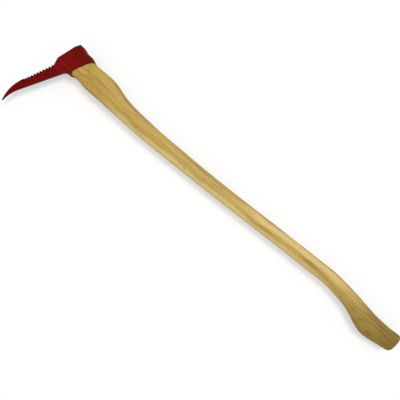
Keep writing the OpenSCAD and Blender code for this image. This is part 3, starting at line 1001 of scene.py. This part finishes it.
def build_mottling():
    """Broad and fine uneven patches, for dirt, worn edges and hammer marks."""
    tree, start, end = new_tree("ShaderNodeTree", "Mottling", {
        "Vector": "Vector", "Float": "Broad scale, Fine scale"}, {"Float": "Broad, Fine"})
    for label in ("Broad", "Fine"):
        end.feed({label: node(tree, "ShaderNodeTexNoise", {
            "Vector": start["Vector"], "Scale": start[label + " scale"], "Detail": 4.0})[0]})
    return tree


def build_edge_wear_and_shade():
    """A mask that is high on convex edges, broken up by patches: wear on the steel, painted shade on the
    paint.
    """
    tree, start, end = new_tree("ShaderNodeTree", "Edge wear and shade", {"Float": "Radius, Patches, Amount"},
                                {"Float": "Mask"})
    rounded = node(tree, "ShaderNodeBevel", {"Radius": start["Radius"]}, samples=6)[0]
    flat = node(tree, "ShaderNodeNewGeometry")["Normal"]
    agree = node(tree, "ShaderNodeVectorMath", {0: rounded, 1: flat}, operation="DOT_PRODUCT")["Value"]
    strength = (1.0 - agree) * (start["Patches"] * 12.0)
    end.feed({"Mask": (strength * start["Amount"]).step(0.15, 0.6)})
    return tree


def use_group(tree, name, build, inputs):
    """Places a shared node group in a material."""
    return node(tree, "ShaderNodeGroup", inputs, node_tree=bpy.data.node_groups.get(name) or build())


def wood_grain(place, pith, lean, ring_width, waviness, light, dark):
    """The grain of one wood."""
    return use_group(place.tree, "Wood grain", build_wood_grain, {
        "Vector": place, "Pith": pith, "Lean": lean, "Ring width": ring_width, "Waviness": waviness,
        "Light": light, "Dark": dark})


def mottling(place, broad, fine):
    """Broad patches and fine ones, from the scales of their noise."""
    made = use_group(place.tree, "Mottling", build_mottling, {"Vector": place, "Broad scale": broad,
                                                              "Fine scale": fine})
    return made["Broad"], made["Fine"]


def edge_wear_and_shade(patches, radius, amount):
    """A mask on convex edges: wear on the steel, painted shade on the paint."""
    return use_group(patches.tree, "Edge wear and shade", build_edge_wear_and_shade, {"Radius": radius, "Patches": patches,
                                                                  "Amount": amount})["Mask"]


def start_material(name):
    """An empty material with its shader and the object's own coordinates."""
    material = bpy.data.materials.new(name)
    tree = empty_tree(material)
    surface = node(tree, "ShaderNodeBsdfPrincipled")
    node(tree, "ShaderNodeOutputMaterial", {"Surface": surface[0]})
    return material, surface, node(tree, "ShaderNodeTexCoord")["Object"]


def attribute(tree, name):
    """A value that is stored with the points of the mesh."""
    return node(tree, "ShaderNodeAttribute", attribute_name=name)["Fac"]


def toned(rgb, share):
    """A colour made darker or lighter by a factor."""
    return [min(1.0, channel * share) for channel in rgb]


def paint_material(finish, form):
    """Red paint on forged steel, with painted highlights on the neck and its creases, painted shade along the
    edges and toward the poll, and darker paint over the teeth.
    """
    material, surface, place = start_material("red_paint")
    broad, fine = mottling(place, broad=45.0, fine=900.0)
    place_y = place["Y"]
    tone = broad.step(0.35, 0.75, 0.0, 0.6).mix(finish.paint, finish.paint_brown)
    # Painted shade dulls the paint toward the poll, and the paint is darker on the blade
    tone = place_y.step(-5 * MM, 22 * MM, 0.0, 0.75).mix(tone, toned(finish.paint_brown, 0.72))
    tone = place_y.step(form.blade_y, form.blade_y - 20 * MM, 0.0, 0.2).mix(tone, finish.paint_dark)
    # Painted highlight: the neck and the creases on either side of it are painted lighter
    neck = (place_y.step(form.blade_y - 2 * MM, form.blade_y + 2 * MM)
            * place_y.step(form.cheek_y - 2 * MM, form.cheek_y + 2 * MM, 0.2, 0.0))
    tone = neck.mix(tone, finish.painted_highlight)
    for crease, strength in ((form.cheek_y, 0.55), (form.blade_y, 0.4)):
        crease_highlight = maths("ABSOLUTE", place_y - crease).step(0.0, 2.2 * MM, strength, 0.0)
        tone = crease_highlight.mix(tone, finish.painted_highlight)
    # Painted shade along the top edges, the lower edges and the rounded convex edges; the paint is darker
    # over the teeth too
    edge = attribute(place.tree, "edge") + (broad - 0.5) * 0.3
    edge_mask = edge_wear_and_shade(broad, radius=1.6 * MM, amount=0.6)
    dark = maths("MAXIMUM", edge.step(0.05, 0.85), edge_mask * 0.3)
    surface.feed({"Base Color": dark.mix(tone, finish.paint_dark),
                  "Roughness": broad.step(0.25, 0.8, 0.4, 0.55),
                  "Normal": (fine * 0.25 + broad).bump(strength=0.35, distance=0.6 * MM),
                  "Specular IOR Level": 0.07})
    return material


def ash_material(finish):
    """Oiled ash with long rings, open pores and a darker grip."""
    material, surface, place = start_material("ash")
    grain = wood_grain(place, pith=(0.0, 0.02, MID_Z - 0.075), lean=(0.0, 0.012, -0.018), ring_width=3.4 * MM,
                       waviness=9 * MM, light=finish.ash_light, dark=finish.ash_dark)
    broad, _ = mottling(place, broad=14.0, fine=250.0)
    place_x = place["X"]
    across = attribute(place.tree, "across") + (broad - 0.5) * 0.9
    tone = broad.step(0.42, 0.66, 0.0, 0.45).mix(grain["Color"], finish.ash_warm)
    # Painted light: a pale band low along the shaft near the head, and a painted highlight on the other side
    # before the grip
    low_side_light = across.step(-0.15, -0.7) * (place_x.step(0.08, 0.2) * place_x.step(0.68, 1.0, 1.0, 0.0))
    high_side_highlight = (across.step(-0.1, 0.3, 0.0, 0.65) * across.step(0.7, 1.0, 1.0, 0.0)
                 * (place_x.step(0.5, 0.62) * place_x.step(0.82, 0.98, 1.0, 0.0)))
    tone = (maths("MAXIMUM", low_side_light, high_side_highlight) * 0.95).mix(tone, finish.painted_light_ash)
    flecks = node(place.tree, "ShaderNodeTexNoise", {"Vector": place * (38.0, 330.0, 330.0), "Scale": 1.0,
                                                     "Detail": 1.0})[0]
    tone = flecks.step(0.64, 0.74, 0.0, 0.5).mix(tone, finish.fleck)
    tone = (grain["Pores"] * 0.45).mix(tone, toned(finish.ash_dark, 0.45))
    # Painted shade darkens the side toward the poll, and the shaft is darker toward the butt
    tone = across.step(0.6, 1.1, 0.0, 0.8).mix(tone, (0.6, 0.62, 0.6), "MULTIPLY")
    tone = (place_x + broad * 0.1).step(0.88, 1.1).mix(tone, (0.52, 0.52, 0.45), "MULTIPLY")
    surface.feed({"Base Color": tone, "Roughness": broad.step(0.3, 0.75, 0.38, 0.52),
                  "Normal": (grain["Rings"] * -0.3 - grain["Pores"]).bump(strength=0.35, distance=0.3 * MM),
                  "Specular IOR Level": 0.35})
    return material


def beech_material(finish):
    """Raw beech, seen on its end grain."""
    material, surface, place = start_material("beech")
    grain = wood_grain(place, pith=(0.0, 0.05, MID_Z - 0.03), lean=(0.0, 0.03, 0.02), ring_width=2.2 * MM,
                       waviness=2 * MM, light=finish.beech_light, dark=finish.beech_dark)
    broad, fine = mottling(place, broad=60.0, fine=700.0)
    surface.feed({"Base Color": (fine * 0.3).mix(grain["Color"], toned(finish.beech_dark, 0.5)),
                  "Roughness": broad.step(0.3, 0.8, 0.6, 0.75),
                  "Normal": fine.bump(strength=0.4, distance=0.4 * MM)})
    return material


def steel_material(finish):
    """Dark rolled steel, bright where the hammer struck it."""
    material, surface, place = start_material("wedge_steel")
    broad, fine = mottling(place, broad=160.0, fine=1500.0)
    tone = broad.step(0.35, 0.7).mix(toned(finish.steel, 0.5), finish.steel)
    edge_mask = edge_wear_and_shade(broad, radius=0.6 * MM, amount=0.7)
    surface.feed({"Base Color": edge_mask.mix(tone, toned(finish.steel, 1.8)),
                  "Roughness": fine.step(0.3, 0.7, 0.35, 0.55),
                  "Normal": fine.bump(strength=0.3, distance=0.3 * MM), "Metallic": 1.0})
    return material


# The stage

def make_room(stage):
    """A white room: plain white to the camera, dim in reflections, and even light on the tool."""
    world = bpy.data.worlds.new("white_room")
    bpy.context.scene.world = world
    tree = empty_tree(world)
    path = node(tree, "ShaderNodeLightPath")
    seen, glossy = path["Is Camera Ray"], path["Is Glossy Ray"]
    matt = maths("SUBTRACT", 1.0 - seen, glossy, clamp=True)
    light = node(tree, "ShaderNodeBackground", {
        "Color": (1, 1, 1), "Strength": seen + matt * stage.fill + glossy * stage.reflection})
    node(tree, "ShaderNodeOutputWorld", {"Surface": light[0]})


def floor_material(stage):
    """A white floor that keeps the tool's shadow, but only a pale one."""
    material = bpy.data.materials.new("white_floor")
    tree = empty_tree(material)
    camera = node(tree, "ShaderNodeLightPath")["Is Camera Ray"]
    matt = node(tree, "ShaderNodeBsdfDiffuse", {"Color": camera.mix((0.8, 0.8, 0.8), [1 - stage.lift] * 3)})
    lift = node(tree, "ShaderNodeEmission", {"Color": (1, 1, 1), "Strength": camera * stage.lift})
    both = node(tree, "ShaderNodeAddShader", {0: matt[0], 1: lift[0]})
    node(tree, "ShaderNodeOutputMaterial", {"Surface": both[0]})
    return material


def make_floor(stage):
    """A wide pale floor just under the tool."""
    reach, drop = 6.0, -0.3 * MM
    mesh = bpy.data.meshes.new("floor")
    corners = ((-reach, -reach), (reach, -reach), (reach, reach), (-reach, reach))
    mesh.from_pydata([(x, y, drop) for x, y in corners], [], [(0, 1, 2, 3)])
    mesh.materials.append(floor_material(stage))
    new_object("floor", mesh)


def make_camera(stage):
    """The camera looks straight down on the tool, turned as the photograph is."""
    data = bpy.data.cameras.new("camera")
    data.lens = stage.lens
    data.sensor_width = 36.0
    camera = new_object("camera", data)
    place = Vector((stage.camera_x, stage.camera_y, MID_Z + stage.camera_height))
    camera.matrix_world = Matrix.Translation(place) @ Matrix.Rotation(stage.turn, 4, "Z")
    bpy.context.scene.camera = camera


def make_sun(stage):
    """One broad lamp from the poll side, for the soft shadow."""
    data = bpy.data.lights.new("key", "SUN")
    data.energy = stage.key * math.pi / math.sin(stage.key_height)
    data.angle = stage.key_angle
    sun = new_object("key", data)
    flat = math.cos(stage.key_height)
    toward = Vector((flat * math.cos(stage.key_side), flat * math.sin(stage.key_side),
                     math.sin(stage.key_height)))
    sun.rotation_mode = "QUATERNION"
    sun.rotation_quaternion = toward.to_track_quat("Z", "Y")


class LOGPICK_OT_set_stage(bpy.types.Operator):
    """Set up the camera, the lamps, the white room and the floor"""
    bl_idname = "logpick.set_stage"
    bl_label = "Set the stage"

    def execute(self, context):
        stage = context.scene.log_pick_stage
        context.scene.view_settings.view_transform = "Standard"
        make_camera(stage)
        make_room(stage)
        make_floor(stage)
        make_sun(stage)
        return {"FINISHED"}


# The panel

GROUPS = {
    "log_pick_eye": LogPickEye,
    "log_pick_head": LogPickHead,
    "log_pick_teeth": LogPickTeeth,
    "log_pick_handle": LogPickHandle,
    "log_pick_wedges": LogPickWedges,
    "log_pick_finish": LogPickFinish,
    "log_pick_stage": LogPickStage,
}
OPERATORS = [
    LOGPICK_OT_set_stage,
    LOGPICK_OT_forge_head,
    LOGPICK_OT_shape_handle,
    LOGPICK_OT_drive_wooden_wedge,
    LOGPICK_OT_drive_steel_wedges,
]


class LOGPICK_PT_sidebar(bpy.types.Panel):
    """Lists what makes the tool, and its sizes and colours"""
    bl_label = "Log pick"
    bl_idname = "LOGPICK_PT_sidebar"
    bl_space_type = "VIEW_3D"
    bl_region_type = "UI"
    bl_category = "Log pick"

    def draw(self, context):
        for operator in OPERATORS:
            self.layout.operator(operator.bl_idname)
        for name, kind in GROUPS.items():
            box = self.layout.box()
            box.label(text=kind.__doc__)
            for key in kind.__annotations__:
                box.prop(getattr(context.scene, name), key)


def register():
    """Registers the property groups, the operators and the panel."""
    for name, kind in GROUPS.items():
        bpy.utils.register_class(kind)
        setattr(bpy.types.Scene, name, PointerProperty(type=kind))
    for kind in [*OPERATORS, LOGPICK_PT_sidebar]:
        bpy.utils.register_class(kind)


def unregister():
    """Takes back what register has done."""
    for kind in reversed([*OPERATORS, LOGPICK_PT_sidebar]):
        bpy.utils.unregister_class(kind)
    for name, kind in reversed(GROUPS.items()):
        delattr(bpy.types.Scene, name)
        bpy.utils.unregister_class(kind)


def main():
    """Makes the stage and every piece."""
    register()
    bpy.ops.logpick.set_stage()
    bpy.ops.logpick.forge_head()
    bpy.ops.logpick.shape_handle()
    bpy.ops.logpick.drive_wooden_wedge()
    bpy.ops.logpick.drive_steel_wedges()


if __name__ == "__main__":
    main()
